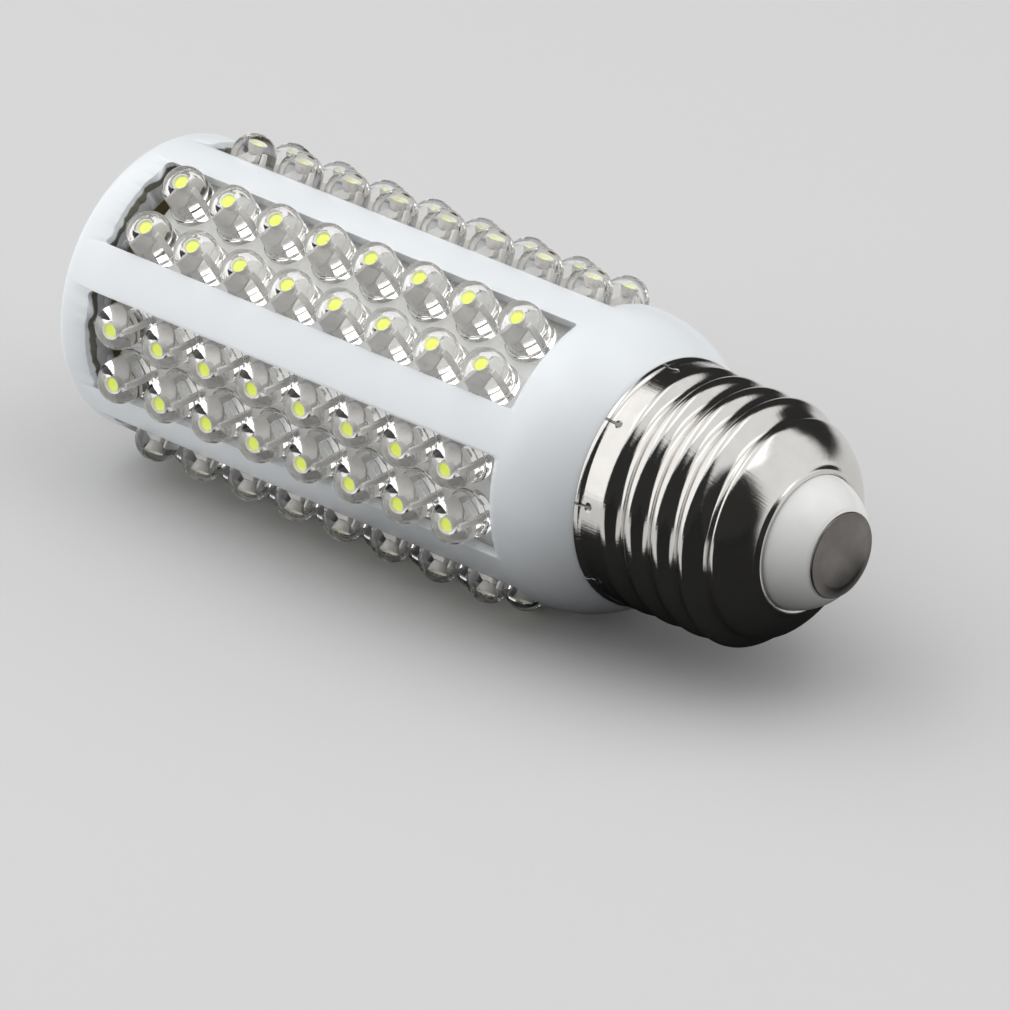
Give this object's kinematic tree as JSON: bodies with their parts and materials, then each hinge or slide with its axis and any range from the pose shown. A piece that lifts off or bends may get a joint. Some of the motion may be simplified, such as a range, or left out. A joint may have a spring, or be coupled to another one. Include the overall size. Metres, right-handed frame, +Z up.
{
  "type": "corn led bulb",
  "caption": "Slim corn-style LED bulb with a screw cap: a windowed white cage round six boards of clear round LEDs.",
  "frame": {"origin": "on the axis, at the flat face of the centre contact", "axes": "+X along the bulb's axis towards the centre contact, +Z up as the bulb lies, a rib of the cage facing down"},
  "size_m": [0.0999, 0.0366, 0.0356],
  "materials": {
    "white_plastic": "smooth moulded, slightly bluish white",
    "nickel_shell": "polished nickel plate, fine scratches",
    "white_insulator": "glossy white",
    "contact_metal": "satin nickel, light scratches",
    "board_white": "white solder mask",
    "clear_epoxy": "clear moulded epoxy",
    "lead_metal": "silver-plated lead frame",
    "phosphor": "yellow phosphor gel",
    "board_tan": "bare laminate",
    "film_red": "dipped red-brown",
    "can_sleeve": "dark shrink sleeve",
    "rectifier_black": "moulded black",
    "resistor_body": "lacquer",
    "wire_red": "insulation",
    "wire_black": "insulation",
    "tinned_wire": "bare tinned"
  },
  "bodies": {
    "root": {"housing": "white_plastic", "screw_shell": "nickel_shell", "insulator": "white_insulator", "centre_contact": "contact_metal", "end_board": "board_white", "end_lenses": "clear_epoxy", "end_leads": "lead_metal", "phosphor": "phosphor", "driver_board": "board_tan", "film_capacitor": "film_red", "bulk_capacitor": "can_sleeve", "bridge_rectifier": "rectifier_black", "fusible_resistor": "resistor_body", "bleeder_resistors": "resistor_body", "live_wire": "wire_red", "neutral_wire": "wire_black", "feed_wire_left": "wire_red", "feed_wire_right": "wire_black", "board_links": "tinned_wire", "end_links": "tinned_wire", "side_board_1": "board_white", "side_lenses_1": "clear_epoxy", "side_leads_1": "lead_metal", "side_board_2": "board_white", "side_lenses_2": "clear_epoxy", "side_leads_2": "lead_metal", "side_board_3": "board_white", "side_lenses_3": "clear_epoxy", "side_leads_3": "lead_metal", "side_board_4": "board_white", "side_lenses_4": "clear_epoxy", "side_leads_4": "lead_metal", "side_board_5": "board_white", "side_lenses_5": "clear_epoxy", "side_leads_5": "lead_metal", "side_board_6": "board_white", "side_lenses_6": "clear_epoxy", "side_leads_6": "lead_metal"}
  },
  "joints": []
}
